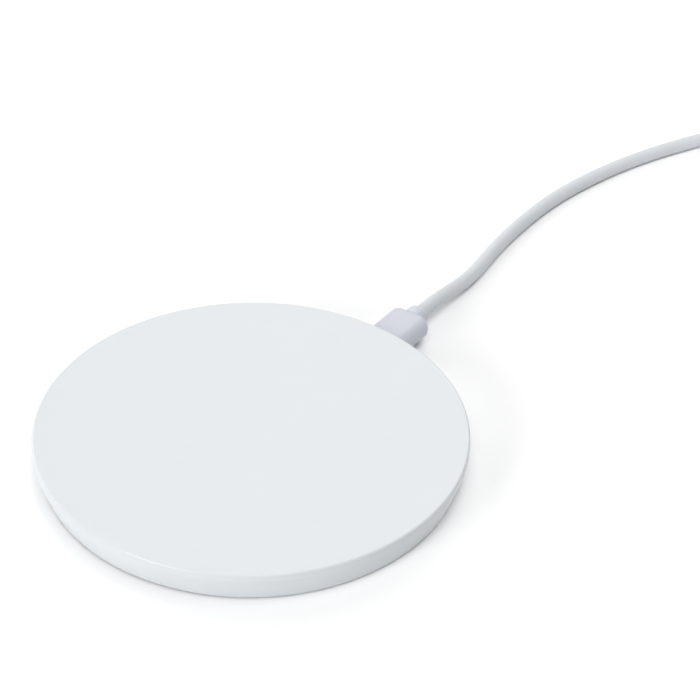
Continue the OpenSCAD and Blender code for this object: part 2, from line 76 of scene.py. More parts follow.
# Soft lights, far off so that all of the floor is lit alike: angle round from the camera's right, elevation
# and spread, all in degrees, and strength in watts per square metre
SOFT_LIGHTS = {
    "right": (0, 70, 40, 1.0),
    "back": (90, 50, 40, 0.8),
    "back_left": (135, 25, 40, 0.8),
    "front_left": (225, 15, 25, 1.8),
    "front": (270, 60, 40, 1.0),
}
FILL_LIGHT = 0.08           # weak light from all round
BACKDROP = 1.0              # white all round, for the camera and reflections


def link_object(name, data):
    obj = bpy.data.objects.new(name, data)
    bpy.context.scene.collection.objects.link(obj)
    return obj


def from_angles(azimuth, elevation):
    """Unit vector towards an azimuth, anticlockwise from +X, and an elevation, both in degrees."""
    a, e = radians(azimuth), radians(elevation)
    return Vector((cos(a) * cos(e), sin(a) * cos(e), sin(e)))


def add_camera():
    back = from_angles(CAMERA_AZIMUTH - 90, CAMERA_ELEVATION)
    data = bpy.data.cameras.new("camera")
    data.lens = CAMERA_LENS
    data.sensor_width = SENSOR_WIDTH
    camera = link_object("camera", data)
    turn = (-back).to_track_quat("-Z", "Y").to_matrix().to_4x4()
    roll = Matrix.Rotation(radians(CAMERA_ROLL), 4, "Z")
    camera.matrix_world = Matrix.Translation(CAMERA_AIM + back * CAMERA_DISTANCE) @ turn @ roll
    bpy.context.scene.camera = camera


def add_soft_lights():
    for name, (angle, elevation, spread, strength) in SOFT_LIGHTS.items():
        data = bpy.data.lights.new(name, "SUN")
        data.angle = radians(spread)
        data.energy = strength
        light = link_object(name, data)
        light.rotation_mode = "QUATERNION"
        light.rotation_quaternion = from_angles(CAMERA_AZIMUTH + angle, elevation).to_track_quat("Z", "Y")


def add_backdrop():
    """White all round for the camera and for reflections, which lights the scene itself only weakly."""
    world = bpy.data.worlds.new("studio")
    bpy.context.scene.world = world
    world.cycles.sampling_method = "NONE"
    world.use_nodes = True
    nodes, link = world.node_tree.nodes, world.node_tree.links.new
    ray = nodes.new("ShaderNodeLightPath")
    strength = nodes.new("ShaderNodeMapRange")
    strength.inputs["To Min"].default_value = BACKDROP
    strength.inputs["To Max"].default_value = FILL_LIGHT
    link(ray.outputs["Is Diffuse Ray"], strength.inputs["Value"])
    link(strength.outputs["Result"], nodes["Background"].inputs["Strength"])
    nodes["Background"].inputs["Color"].default_value = (1, 1, 1, 1)


def add_floor():
    bpy.ops.mesh.primitive_plane_add(size=FLOOR_SIZE)
    surface = bpy.context.object
    surface.name = "floor"
    material = bpy.data.materials.new("floor_white")
    material.use_nodes = True
    shader = material.node_tree.nodes["Principled BSDF"]
    shader.inputs["Base Color"].default_value = (FLOOR_WHITE, FLOOR_WHITE, FLOOR_WHITE, 1)
    shader.inputs["Roughness"].default_value = 0.9
    shader.inputs["Specular IOR Level"].default_value = 0.0
    surface.data.materials.append(material)


# ---- Materials ----

def add_node(nodes, kind, settings=(), **inputs):
    """Shader node with its settings and inputs; an input's underscores stand for spaces."""
    node = nodes.new("ShaderNode" + kind)
    for key, value in dict(settings).items():
        setattr(node, key, value)
    for key, value in inputs.items():
        node.inputs[key.replace("_", " ")].default_value = value
    return node


def noise(material, size, detail=3.0, stretch=(1, 1, 1)):
    """Output of a noise texture whose lumps are about the given size in metres."""
    nodes, link = material.node_tree.nodes, material.node_tree.links.new
    place = add_node(nodes, "TexCoord")
    scale = add_node(nodes, "Mapping", Scale=stretch)
    texture = add_node(nodes, "TexNoise", Scale=1 / size, Detail=detail)
    link(place.outputs["Object"], scale.inputs["Vector"])
    link(scale.outputs["Vector"], texture.inputs["Vector"])
    return texture.outputs["Fac"]


def ranged(material, source, low, high, start=0.3, end=0.7):
    """Output that goes from low to high as the source goes from start to end."""
    nodes, link = material.node_tree.nodes, material.node_tree.links.new
    node = add_node(nodes, "MapRange", From_Min=start, From_Max=end, To_Min=low, To_Max=high)
    link(source, node.inputs["Value"])
    return node.outputs["Result"]


def mixed(material, factor, first, second):
    """Colour that goes from the first to the second with a factor; each is a colour or an output."""
    nodes, link = material.node_tree.nodes, material.node_tree.links.new
    node = add_node(nodes, "Mix", {"data_type": "RGBA"})
    link(factor, node.inputs["Factor"])
    # The node's colour sockets share their names with its others, so they go by number
    for socket, value in ((node.inputs[6], first), (node.inputs[7], second)):
        if isinstance(value, tuple):
            socket.default_value = (*value, 1)
        else:
            link(value, socket)
    return node.outputs[2]


def bump(material, source, height, below=None):
    """Adds relief of a height in metres over the relief below it."""
    nodes, link = material.node_tree.nodes, material.node_tree.links.new
    node = add_node(nodes, "Bump", Strength=1.0, Distance=height)
    link(source, node.inputs["Height"])
    if below is not None:
        link(below, node.inputs["Normal"])
    link(node.outputs["Normal"], material.node_tree.nodes["Principled BSDF"].inputs["Normal"])


def shade(colour, factor):
    return tuple(min(1, part * factor) for part in colour)


def finish(name, colour, gloss, grain, relief, drift=0.02, patch=9 * mm, metal=0.0, stretch=(1, 1, 1)):
    """Material whose colour drifts in patches, whose gloss varies and whose surface has a fine grain.

    gloss is the least and greatest roughness, grain and patch are sizes, and relief is the grain's height."""
    material = bpy.data.materials.new(name)
    material.use_nodes = True
    link = material.node_tree.links.new
    shader = material.node_tree.nodes["Principled BSDF"]
    shader.inputs["Metallic"].default_value = metal
    patches = ranged(material, noise(material, patch), 0, 1)
    drifting = mixed(material, patches, shade(colour, 1 - drift), shade(colour, 1 + drift))
    link(drifting, shader.inputs["Base Color"])
    wear = ranged(material, noise(material, patch / 3, stretch=stretch), *gloss)
    link(wear, shader.inputs["Roughness"])
    bump(material, noise(material, grain, 2.0, stretch), relief)
    return material


def wave_scale(period):
    """Scale at which a wave texture repeats after a period in metres."""
    return pi / 10 / period


def stripes(material, period, turn=0):
    """Output that rises and falls along a made mesh's surface, turned by an angle in degrees."""
    nodes, link = material.node_tree.nodes, material.node_tree.links.new
    place = add_node(nodes, "UVMap", {"uv_map": "surface"})
    turned_place = add_node(nodes, "Mapping", Rotation=(0, 0, radians(turn)))
    wave = add_node(nodes, "TexWave", Scale=wave_scale(period))
    link(place.outputs["UV"], turned_place.inputs["Vector"])
    link(turned_place.outputs["Vector"], wave.inputs["Vector"])
    return wave.outputs["Fac"]


def combined(material, first, second, operation="MULTIPLY"):
    """Output worked out from two others by a math operation."""
    nodes, link = material.node_tree.nodes, material.node_tree.links.new
    node = add_node(nodes, "Math", {"operation": operation})
    link(first, node.inputs[0])
    link(second, node.inputs[1])
    return node.outputs["Value"]


def overlay(material, source, colour, height):
    """Lays another pattern over a finished material: its low places take a colour, its high ones stand up."""
    shader = material.node_tree.nodes["Principled BSDF"]
    ground = shader.inputs["Base Color"].links[0].from_socket
    relief = shader.inputs["Normal"].links[0].from_socket
    mix = mixed(material, ranged(material, source, 0, 1, 0.1, 0.5), colour, ground)
    material.node_tree.links.new(mix, shader.inputs["Base Color"])
    bump(material, source, height, relief)


def woven(material, thread, colour, height):
    """Threads that cross at right angles, with painted shade in the low places between them."""
    along, across = stripes(material, thread), stripes(material, thread, 90)
    overlay(material, combined(material, along, across, "MAXIMUM"), colour, height)


def traced(material, colour, height):
    """Copper tracks under a board's solder mask: thin lighter lines, lengthwise or across by the area."""
    area, pitch = 4 * mm, 0.55 * mm
    nodes, link = material.node_tree.nodes, material.node_tree.links.new
    place = add_node(nodes, "TexCoord")
    areas = add_node(nodes, "TexVoronoi", {"distance": "CHEBYCHEV"}, Scale=1 / area)
    link(place.outputs["Object"], areas.inputs["Vector"])
    choice = add_node(nodes, "SeparateColor")
    link(areas.outputs["Color"], choice.inputs["Color"])
    lines = []
    for direction in ("X", "Y"):
        wave = add_node(nodes, "TexWave", {"bands_direction": direction}, Scale=wave_scale(pitch))
        link(place.outputs["Object"], wave.inputs["Vector"])
        lines.append(ranged(material, wave.outputs["Fac"], 0, 1, 0.72, 0.85))
    # Each area's random colour says which way its tracks run, and which areas have none
    lengthwise = ranged(material, choice.outputs["Red"], 0, 1, 0.33, 0.34)
    covered = ranged(material, choice.outputs["Green"], 1, 0, 0.45, 0.46)
    across = combined(material, lines[0], ranged(material, lengthwise, 1, 0, 0, 1))
    along = combined(material, lines[1], lengthwise)
    tracks = combined(material, combined(material, along, across, "ADD"), covered)
    overlay(material, ranged(material, tracks, 1, 0, 0, 1), colour, -height)


COVER_WHITE = (0.632, 0.659, 0.676)
METAL = (0.44, 0.45, 0.47)
FINISHES = {
    "cover_plastic": (COVER_WHITE, (0.29, 0.35), 0.35 * mm, 0.004 * mm, 0.006, 14 * mm),
    "base_plastic": ((0.72, 0.75, 0.77), (0.5, 0.6), 0.25 * mm, 0.010 * mm, 0.01),
    "foot_rubber": ((0.56, 0.58, 0.60), (0.7, 0.85), 0.2 * mm, 0.02 * mm, 0.04, 3 * mm),
    "screw_steel": (METAL, (0.29, 0.4), 0.15 * mm, 0.002 * mm, 0.05, 1 * mm, 1.0),
    "grip_plastic": ((0.541, 0.553, 0.626), (0.38, 0.46), 0.3 * mm, 0.004 * mm, 0.01, 4 * mm),
    "collar_plastic": ((0.590, 0.615, 0.671), (0.4, 0.5), 0.3 * mm, 0.004 * mm, 0.01, 3 * mm),
    "cord_jacket": ((0.598, 0.623, 0.649), (0.42, 0.52), 0.35 * mm, 0.006 * mm, 0.012, 8 * mm),
    "tie_fabric": ((0.40, 0.42, 0.44), (0.75, 0.9), 0.2 * mm, 0.03 * mm, 0.06, 2 * mm),
    "connector_steel": (METAL, (0.29, 0.38), 0.3 * mm, 0.0008 * mm, 0.03, 2 * mm, 1.0, (1, 0.1, 1)),
    "can_steel": (METAL, (0.3, 0.45), 0.2 * mm, 0.001 * mm, 0.04, 1 * mm, 1.0, (0.2, 1, 1)),
    "contact_gold": ((0.83, 0.6, 0.25), (0.29, 0.36), 0.1 * mm, 0.001 * mm, 0.04, 1 * mm, 1.0),
    "insulator_black": ((0.02, 0.02, 0.022), (0.4, 0.55), 0.12 * mm, 0.003 * mm, 0.2, 1 * mm),
    "insert_white": ((0.74, 0.75, 0.75), (0.35, 0.45), 0.2 * mm, 0.003 * mm, 0.02, 2 * mm),
    "chip_black": ((0.028, 0.028, 0.03), (0.5, 0.65), 0.08 * mm, 0.004 * mm, 0.25, 0.6 * mm),
    "ceramic_tan": ((0.42, 0.27, 0.14), (0.45, 0.6), 0.1 * mm, 0.004 * mm, 0.08, 0.8 * mm),
    "ferrite_dark": ((0.035, 0.035, 0.038), (0.55, 0.75), 0.3 * mm, 0.01 * mm, 0.3, 1.5 * mm),
    "adhesive_film": ((0.62, 0.52, 0.3), (0.3, 0.5), 1 * mm, 0.01 * mm, 0.06, 3 * mm),
    "thermistor_glass": ((0.03, 0.06, 0.14), (0.08, 0.16), 0.6 * mm, 0.003 * mm, 0.15, mm),
    "litz_copper": ((0.55, 0.24, 0.09), (0.3, 0.45), 0.1 * mm, 0.01 * mm, 0.15, 0.6 * mm, 0.9),
    "board_laminate": ((0.02, 0.12, 0.055), (0.29, 0.4), 0.4 * mm, 0.005 * mm, 0.1, 4 * mm),
}
MATERIALS = {name: finish(name, *settings) for name, settings in FINISHES.items()}
# The tie's darker colour is painted shade in the gaps between its threads
woven(MATERIALS["tie_fabric"], 0.55 * mm, (0.22, 0.23, 0.25), 0.05 * mm)
# The darker copper colour is painted shade in the grooves between the wire's strands
strand_relief_and_shade = stripes(MATERIALS["litz_copper"], 0.16 * mm, 35)
overlay(MATERIALS["litz_copper"], strand_relief_and_shade, (0.2, 0.07, 0.025), 0.03 * mm)
traced(MATERIALS["board_laminate"], (0.05, 0.22, 0.10), 0.02 * mm)


# ---- Mesh helpers ----

SHARP_EDGE = radians(35)     # turn between two faces from which their edge is kept crisp


def make_mesh(name, vertices, faces, corners, material, body):
    """Object from vertices and faces, with a place on the surface, in metres, for each face's corners."""
    mesh = bpy.data.meshes.new(name)
    mesh.from_pydata(vertices, [], faces)
    layer = mesh.uv_layers.new(name="surface")
    for polygon, places in zip(mesh.polygons, corners):
        for loop, place in zip(polygon.loop_indices, places):
            layer.data[loop].uv = place
    shape = bmesh.new()
    shape.from_mesh(mesh)
    bmesh.ops.recalc_face_normals(shape, faces=shape.faces)
    shape.to_mesh(mesh)
    shape.free()
    mesh.shade_smooth()
    mesh.set_sharp_from_angle(angle=SHARP_EDGE)
    mesh.materials.append(MATERIALS[material])
    obj = link_object(name, mesh)
    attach(obj, body)
    return obj


def skin(rows, start=0):
    """Closed surface through rows of points that each go once round, with a flat face at each end."""
    count = len(rows[0])
    vertices = [point for row in rows for point in row]
    faces, corners = [], []
    along = 0
    for i in range(len(rows) - 1):
        step = (rows[i + 1][0] - rows[i][0]).length
        across = 0
        for k in range(count):
            following = (k + 1) % count
            width = (rows[i][following] - rows[i][k]).length
            faces.append([start + n for n in (
                i * count + k, i * count + following, (i + 1) * count + following, (i + 1) * count + k,
            )])
            beside, ahead = across + width, along + step
            corners.append([(across, along), (beside, along), (beside, ahead), (across, ahead)])
            across += width
        along += step
    last = (len(rows) - 1) * count
    faces += [[start + k for k in reversed(range(count))], [start + last + k for k in range(count)]]
    corners += [[(0, 0)] * count, [(0, along)] * count]
    return vertices, faces, corners


def join_skins(surfaces):
    """One set of vertices, faces and corners from several row lists."""
    vertices, faces, corners = [], [], []
    for rows in surfaces:
        more = skin(rows, len(vertices))
        vertices += more[0]
        faces += more[1]
        corners += more[2]
    return vertices, faces, corners


def rounded_ring(width, height, radius, per_corner=8):
    """Points (across, up) once round a rounded rectangle."""
    points = []
    for quarter, (sx, sz) in enumerate(((1, 1), (-1, 1), (-1, -1), (1, -1))):
        for step in range(per_corner + 1):
            angle = pi / 2 * (quarter + step / per_corner)
            points.append((
                sx * (width / 2 - radius) + radius * cos(angle),
                sz * (height / 2 - radius) + radius * sin(angle),
            ))
    return points


def turned(profile, segments, place):
    """Rows for skin() round a profile of (radius, distance along the axis), placed by a function."""
    angles = [2 * pi * k / segments for k in range(segments)]
    return [[place(r * cos(a), r * sin(a), along) for a in angles] for r, along in profile]


def arc(centre, radius, start, end, steps):
    """Points (across, up) along an arc between two angles in degrees."""
    angles = [radians(start + (end - start) * i / steps) for i in range(steps + 1)]
    return [(centre[0] + radius * cos(a), centre[1] + radius * sin(a)) for a in angles]


def along_y(x, z):
    """Placing function for a shape whose axis runs along +Y through a point."""
    return lambda across, up, along: Vector((x + across, along, z + up))


# ---- Cord ----

CORD_D = 3.7 * mm
CORD_R = CORD_D / 2
WIND_R = 25.9 * mm           # radius of the outermost turn, to the middle of the cord
LOWER_TURNS = 3.2
RISE_TURNS = 0.2
UPPER_TURNS = 3
TOTAL_TURNS = LOWER_TURNS + RISE_TURNS + UPPER_TURNS
ENTRY_ANGLE = 150            # degrees round the coil, where the cord meets it
LOW_Z = 2.25 * mm            # height of the cord's middle in the lower layer
POINTS_PER_TURN = 24

# Distance across and along from the end of the collar, and height, in millimetres
CORD_STEPS = [
    (0, 0, 4.4), (0, 4, 4.4), (-0.1, 9, 4.0), (-0.1, 14, 3.3), (0, 20, 2.5),
    (-0.1, 26, 2.1), (-1, 33, 1.9), (-1.9, 40, 1.9), (-2.5, 48, 1.9),
    (-2.7, 56, 1.9), (-2.6, 64, 1.9), (-2, 72, 1.9),
    (-0.8, 80, 1.9), (1.1, 89, 1.9), (3.9, 99, 1.9),
    (7.5, 109, 1.9), (11.5, 118, 1.9), (16, 127, 1.9),
    (20.5, 135, 1.9), (24.9, 142.6, 2.1),
]
# The same from the end of the USB-A plug's strain relief
TAIL_STEPS = [(-0.4, 17, 5.7), (0, 11, 5.0), (0, 4, 3.9), (0, 0, 3.9)]


def smooth(t):
    t = min(max(t, 0), 1)
    return t * t * (3 - 2 * t)


def coil_section(turns):
    """Radius and height of the cord's middle: inwards on the floor, up at the inside, then outwards."""
    top_turns = max(turns - LOWER_TURNS - RISE_TURNS, 0)
    radius = WIND_R - CORD_D * min(turns, LOWER_TURNS) + CORD_D * top_turns
    climb = smooth((turns - LOWER_TURNS + RISE_TURNS) / (2 * RISE_TURNS))
    return radius, LOW_Z + CORD_D * climb


def coil_point(turns):
    radius, height = coil_section(turns)
    angle = radians(ENTRY_ANGLE) - 2 * pi * turns
    return Vector((COIL.x + radius * cos(angle), COIL.y + radius * sin(angle), height))


def steps_from(x, y, steps):
    return [Vector((x + step[0] * mm, y + step[1] * mm, step[2] * mm)) for step in steps]


def lead_route():
    count = round(TOTAL_TURNS * POINTS_PER_TURN)
    return (
        steps_from(PLUG.x, COLLAR_HIGH.y, CORD_STEPS)
        + [coil_point(TOTAL_TURNS * i / count) for i in range(count + 1)]
        + steps_from(USB.x, RELIEF_HIGH.y, TAIL_STEPS)
    )


def make_curve(name, points, diameter, material, body):
    """Round cord or wire along one smooth curve."""
    data = bpy.data.curves.new(name, "CURVE")
    data.dimensions = "3D"
    data.bevel_depth = diameter / 2
    data.bevel_resolution = 6
    data.use_fill_caps = True
    data.resolution_u = 6
    spline = data.splines.new("NURBS")
    spline.points.add(len(points) - 1)
    for target, point in zip(spline.points, points):
        target.co = (*point, 1)
    spline.order_u = 4
    spline.use_endpoint_u = True
    data.materials.append(MATERIALS[material])
    curve = link_object(name, data)
    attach(curve, body)
    return curve


# ---- USB-C plug ----

SOCKET_DEPTHS = (1.5 * mm, 0.1 * mm, 0)     # of the rows inside a grip's socket, from the deepest
HIDDEN_R = CORD_R * 0.9                     # where a strain relief closes inside the cord
ROUND_SEGMENTS = 48


def make_plug_grip():
    """Rounded grip with a socket for the metal shell, a soft front edge and a bowed, rounded far end."""
    width, height = GRIP_HIGH.x - GRIP_LOW.x, GRIP_HIGH.z - GRIP_LOW.z
    corner = height * 0.47
    gap, shell_corner = 0.1 * mm, 1.2 * mm
    shell_width, shell_height = SHELL_HIGH.x - SHELL_LOW.x, SHELL_HIGH.z - SHELL_LOW.z
    socket = rounded_ring(shell_width + gap, shell_height + gap, shell_corner)
    front_edge, end_edge, bow = 0.35 * mm, 1.0 * mm, 0.9 * mm
    place = along_y(PLUG.x, PLUG.z)
    rows = [[place(x, z, GRIP_LOW.y + depth) for x, z in socket] for depth in SOCKET_DEPTHS]

    def add_row(inset, y, bend):
        ring = rounded_ring(width - 2 * inset, height - 2 * inset, corner - inset)
        rows.append([place(x, z, y - bend * bow * (2 * x / width) ** 2) for x, z in ring])

    for inset, depth in arc((front_edge, front_edge), front_edge, 270, 180, 5):
        add_row(inset, GRIP_LOW.y + depth, 0)
    steps = 12
    length = GRIP_HIGH.y - GRIP_LOW.y - front_edge - end_edge
    for i in range(1, steps):
        add_row(0, GRIP_LOW.y + front_edge + length * i / steps, i / steps)
    for inset, depth in arc((end_edge, -end_edge), end_edge, 180, 90, 8):
        add_row(inset, GRIP_HIGH.y + depth, 1)
    add_row(corner * 0.8, GRIP_HIGH.y, 1)
    grip = make_mesh("plug_grip", *skin(rows), "grip_plastic", "cable")
    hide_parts("plug_overmold")
    return grip


def make_collar():
    """Strain relief with soft ribs, rooted in the grip."""
    outer = (COLLAR_HIGH.x - COLLAR_LOW.x) / 2
    groove, root = 0.22 * mm, 1.2 * mm
    lip, lip_back = 0.25 * mm, 0.05 * mm
    ribs = 3
    steps = 8
    pitch = (COLLAR_HIGH.y - COLLAR_LOW.y) / ribs
    profile = [(outer - groove, COLLAR_LOW.y - root)]
    for i in range(ribs * steps + 1):
        dip = abs(cos(pi * i / steps)) ** 6
        profile.append((outer - groove * dip, COLLAR_LOW.y + pitch * i / steps))
    profile.append((CORD_R + lip, COLLAR_HIGH.y + lip_back))
    profile.append((HIDDEN_R, COLLAR_HIGH.y))
    rows = turned(profile, ROUND_SEGMENTS, along_y(PLUG.x, PLUG.z))
    collar = make_mesh("ribbed_collar", *skin(rows), "collar_plastic", "cable")
    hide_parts("strain_relief_collar")
    return collar


# ---- USB-A plug ----

def make_usb_grip():
    """Rounded block with a socket for the metal shell and finger grooves across the top and bottom."""
    width, height = USB_GRIP_HIGH.x - USB_GRIP_LOW.x, USB_GRIP_HIGH.z - USB_GRIP_LOW.z
    middle_z = (USB_GRIP_HIGH.z + USB_GRIP_LOW.z) / 2
    corner, shell_corner = 2.2 * mm, 0.7 * mm
    edge, end_edge = 0.4 * mm, 1.4 * mm
    place = along_y(USB.x, middle_z)
    shell_width, shell_height = USB_SHELL_HIGH.x - USB_SHELL_LOW.x, USB_SHELL_HIGH.z - USB_SHELL_LOW.z
    socket = rounded_ring(shell_width, shell_height, shell_corner)
    rows = [[place(x, z, USB_GRIP_LOW.y + depth) for x, z in socket] for depth in SOCKET_DEPTHS]

    def add_row(inset, y, dip=0.0):
        ring = rounded_ring(width - 2 * inset, height - 2 * inset, corner - inset)
        flat = width / 2 - corner
        rows.append([
            place(x, z - (dip if z > 0 else -dip) * smooth((flat + corner * 0.4 - abs(x)) / corner), y)
            for x, z in ring
        ])

    for inset, depth in arc((edge, edge), edge, 270, 180, 5):
        add_row(inset, USB_GRIP_LOW.y + depth)
    grooves, pitch, groove_depth = 5, 1.9 * mm, 0.3 * mm
    past_grooves, plain_end = 5 * mm, 3 * mm
    first = USB_GRIP_HIGH.y - past_grooves - grooves * pitch
    add_row(0, (USB_GRIP_LOW.y + first) / 2)
    steps = 8
    for i in range(grooves * steps + 1):
        add_row(0, first + pitch * i / steps, groove_depth * sin(pi * i / steps) ** 2)
    add_row(0, USB_GRIP_HIGH.y - plain_end)
    for inset, depth in arc((end_edge, -end_edge), end_edge, 180, 90, 8):
        add_row(inset, USB_GRIP_HIGH.y + depth)
    grip = make_mesh("usb_a_grip", *skin(rows), "grip_plastic", "cable")
    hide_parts("usb_a_overmold")
    return grip


def make_usb_relief():
    """Tapered strain relief with rounded ribs, rooted in the USB-A grip."""
    end_wall, root, lip_back = 0.45 * mm, 1 * mm, 0.05 * mm
    wide, narrow = (RELIEF_HIGH.x - RELIEF_LOW.x) / 2, CORD_R + end_wall
    length = RELIEF_HIGH.y - RELIEF_LOW.y
    ribs, steps, groove = 4, 10, 0.42 * mm
    middle_z = (USB_GRIP_HIGH.z + USB_GRIP_LOW.z) / 2
    profile = [(wide - groove, RELIEF_LOW.y - root)]
    for i in range(ribs * steps + 1):
        t = i / (ribs * steps)
        dip = abs(cos(pi * i / steps)) ** 5
        radius = wide + (narrow - wide) * t - groove * dip * (1 - 0.5 * t)
        profile.append((radius, RELIEF_LOW.y + length * t))
    profile.append((HIDDEN_R, RELIEF_HIGH.y + lip_back))
    rows = turned(profile, ROUND_SEGMENTS, along_y(USB.x, middle_z))
    relief = make_mesh("usb_a_relief", *skin(rows), "grip_plastic", "cable")
    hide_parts("usb_a_strain_relief")
    return relief


# ---- Tie round the coil ----

TIE_ANGLE = 250              # degrees round the coil
TIE_T = 0.3 * mm
TIE_W = 8 * mm
TIE_OVERLAP = 9 * mm


def bundle_corners():
    """Middles of the outermost cords where the tie crosses the coil, as (radius, height), anticlockwise."""
    first = (ENTRY_ANGLE - TIE_ANGLE) / 360
    first -= floor(first)
    crossings = [coil_section(first + i) for i in range(ceil(TOTAL_TURNS - first))]
    low_row = sorted(c for c in crossings if c[1] < LOW_Z + CORD_R)
    top_row = sorted(c for c in crossings if c[1] >= LOW_Z + CORD_R)
    return [low_row[0], low_row[-1], top_row[-1], top_row[0]]


def tie_outline():
    """Closed outline round the bundle as ((radius, height), outward normal), rounded at each corner."""
    corners = bundle_corners()
    reach = CORD_R + TIE_T / 2
    steps = 8
    outline = []
    for i, corner in enumerate(corners):
        before, after = corners[i - 1], corners[(i + 1) % len(corners)]
        angles = []
        for a, b in ((before, corner), (corner, after)):
            way = Vector((b[0] - a[0], b[1] - a[1])).normalized()
            angles.append(Vector((1, 0)).angle_signed(Vector((way.y, -way.x)), 0) * -1)
        start, end = angles[0], angles[1]
        while end < start:
            end += 2 * pi
        for step in range(steps + 1):
            a = start + (end - start) * step / steps
            outline.append(((corner[0] + reach * cos(a), corner[1] + reach * sin(a)), (cos(a), sin(a))))
    return outline


def resample(outline, spacing):
    """The same closed outline with points about a spacing apart."""
    points = []
    for i, (place, normal) in enumerate(outline):
        following, turn = outline[(i + 1) % len(outline)]
        way = hypot(following[0] - place[0], following[1] - place[1])
        count = max(1, round(way / spacing))
        for step in range(count):
            t = step / count
            middle = [a + (b - a) * t for a, b in zip(place, following)]
            facing = Vector([a + (b - a) * t for a, b in zip(normal, turn)]).normalized()
            points.append((middle, facing))
    return points


def make_tie():
    """Hook-and-loop strap wound once round the bundle, its rounded end lapped over its start on top."""
    spacing, level = 0.5 * mm, 0.1 * mm
    lift_steps = 8
    least_half, edge = 0.6 * mm, TIE_T * 0.45
    outline = resample(tie_outline(), spacing)
    top = max(p[0][1] for p in outline)
    on_top = [i for i, p in enumerate(outline) if p[0][1] > top - level]
    start = max(on_top, key=lambda i: outline[i][0][0])
    count = len(outline) + round(TIE_OVERLAP / spacing)
    rows = []
    for i in range(count + 1):
        (radius, height), normal = outline[(start + i) % len(outline)]
        lift = TIE_T * smooth((i - len(outline) + lift_steps) / lift_steps)
        to_end = (count - i) * spacing
        half = TIE_W / 2
        if to_end < half:
            half = max(sqrt(half * half - (half - to_end) ** 2), least_half)
        row = []
        for across, up in rounded_ring(2 * half, TIE_T, edge, 2):
            r = radius + normal[0] * (lift + up)
            angle = radians(TIE_ANGLE) + across / r
            row.append(Vector((
                COIL.x + r * cos(angle), COIL.y + r * sin(angle), height + normal[1] * (lift + up),
            )))
        rows.append(row)
    tie = make_mesh("coil_tie", *skin(rows), "tie_fabric", "cable")
    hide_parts("cord_tie")
    return tie


# ---- Feet ----

def loose_boxes(node):
    """Lowest and highest corner of each separate solid in a CAD node, in a steady order."""
    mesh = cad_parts[node].data
    group = list(range(len(mesh.vertices)))

    def root(i):
        while group[i] != i:
            group[i] = group[group[i]]
            i = group[i]
        return i

    same_place = {}
    for vertex in mesh.vertices:
        key = tuple(round(c * 1e6) for c in vertex.co)
        group[root(vertex.index)] = root(same_place.setdefault(key, vertex.index))
    for edge in mesh.edges:
        group[root(edge.vertices[0])] = root(edge.vertices[1])
    solids = {}
    for vertex in mesh.vertices:
        solids.setdefault(root(vertex.index), []).append(vertex.co)
    boxes = [
        tuple(Vector([pick(p[i] for p in points) for i in range(3)]) for pick in (min, max))
        for points in solids.values()
    ]
    return sorted(boxes, key=lambda box: (round(box[0].x, 5), round(box[0].y, 5)))


def make_feet():
    """Round rubber feet with a soft lower edge and a shallow ring moulded into the face."""
    surfaces = []
    edge, middle_r = 0.35 * mm, 0.3 * mm
    width, depth = 0.5 * mm, 0.12 * mm
    for low, high in loose_boxes("rubber_feet"):
        centre = (low + high) / 2
        radius = (high.x - low.x) / 2
        ring = radius * 0.62
        profile = [(middle_r, high.z), (radius, high.z)]
        profile += arc((radius - edge, low.z + edge), edge, 0, -90, 6)
        profile += [(ring + width, low.z), (ring + width / 2, low.z + depth)]
        profile += [(ring - width / 2, low.z + depth), (ring - width, low.z), (middle_r, low.z)]
        surfaces.append(turned(profile, 64, lambda x, y, z, c=centre: Vector((c.x + x, c.y + y, z))))
    feet = make_mesh("pad_feet", *join_skins(surfaces), "foot_rubber", "pad")
    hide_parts("rubber_feet")


# ---- Inside the pad ----

def rounded_path(points, bend, steps=5):
    """A path with its corners rounded off, each from a bend's length before it to as far after it."""
    path = [points[0]]
    for before, corner, after in zip(points, points[1:], points[2:]):
        reach = min(bend, (corner - before).length / 2, (after - corner).length / 2)
        start = corner + (before - corner).normalized() * reach
        end = corner + (after - corner).normalized() * reach
        for i in range(steps + 1):
            t = i / steps
            path.append(start * (1 - t) ** 2 + corner * 2 * t * (1 - t) + end * t ** 2)
    return path + [points[-1]]


def tube_rows(points, diameter, sides=12):
    """Rows for skin() of a round tube along a path, carried along it without a twist."""
    rows = []
    side = Vector((0, 0, 1)).cross(points[1] - points[0])
    if side.length < 1e-9:
        side = Vector((1, 0, 0))
    for i, point in enumerate(points):
        way = (points[min(i + 1, len(points) - 1)] - points[max(i - 1, 0)]).normalized()
        side = (side - way * side.dot(way)).normalized()
        up = way.cross(side)
        rows.append([
            point + (side * cos(2 * pi * k / sides) + up * sin(2 * pi * k / sides)) * diameter / 2
            for k in range(sides)
        ])
    return rows


def block_rows(low, high, edge, corner=None):
    """Rows for skin() of a block with rounded edges, and corners that may be rounder seen from above."""
    corner = max(corner or edge, edge)
    centre = (low + high) / 2
    width, depth = high.x - low.x, high.y - low.y
    section = arc((edge, edge), edge, 270, 180, 3) + arc((edge, high.z - low.z - edge), edge, 180, 90, 3)
    return [
        [
            Vector((centre.x + x, centre.y + y, low.z + up))
            for x, y in rounded_ring(width - 2 * inset, depth - 2 * inset, corner - inset * 0.9, 3)
        ]
        for inset, up in section
    ]


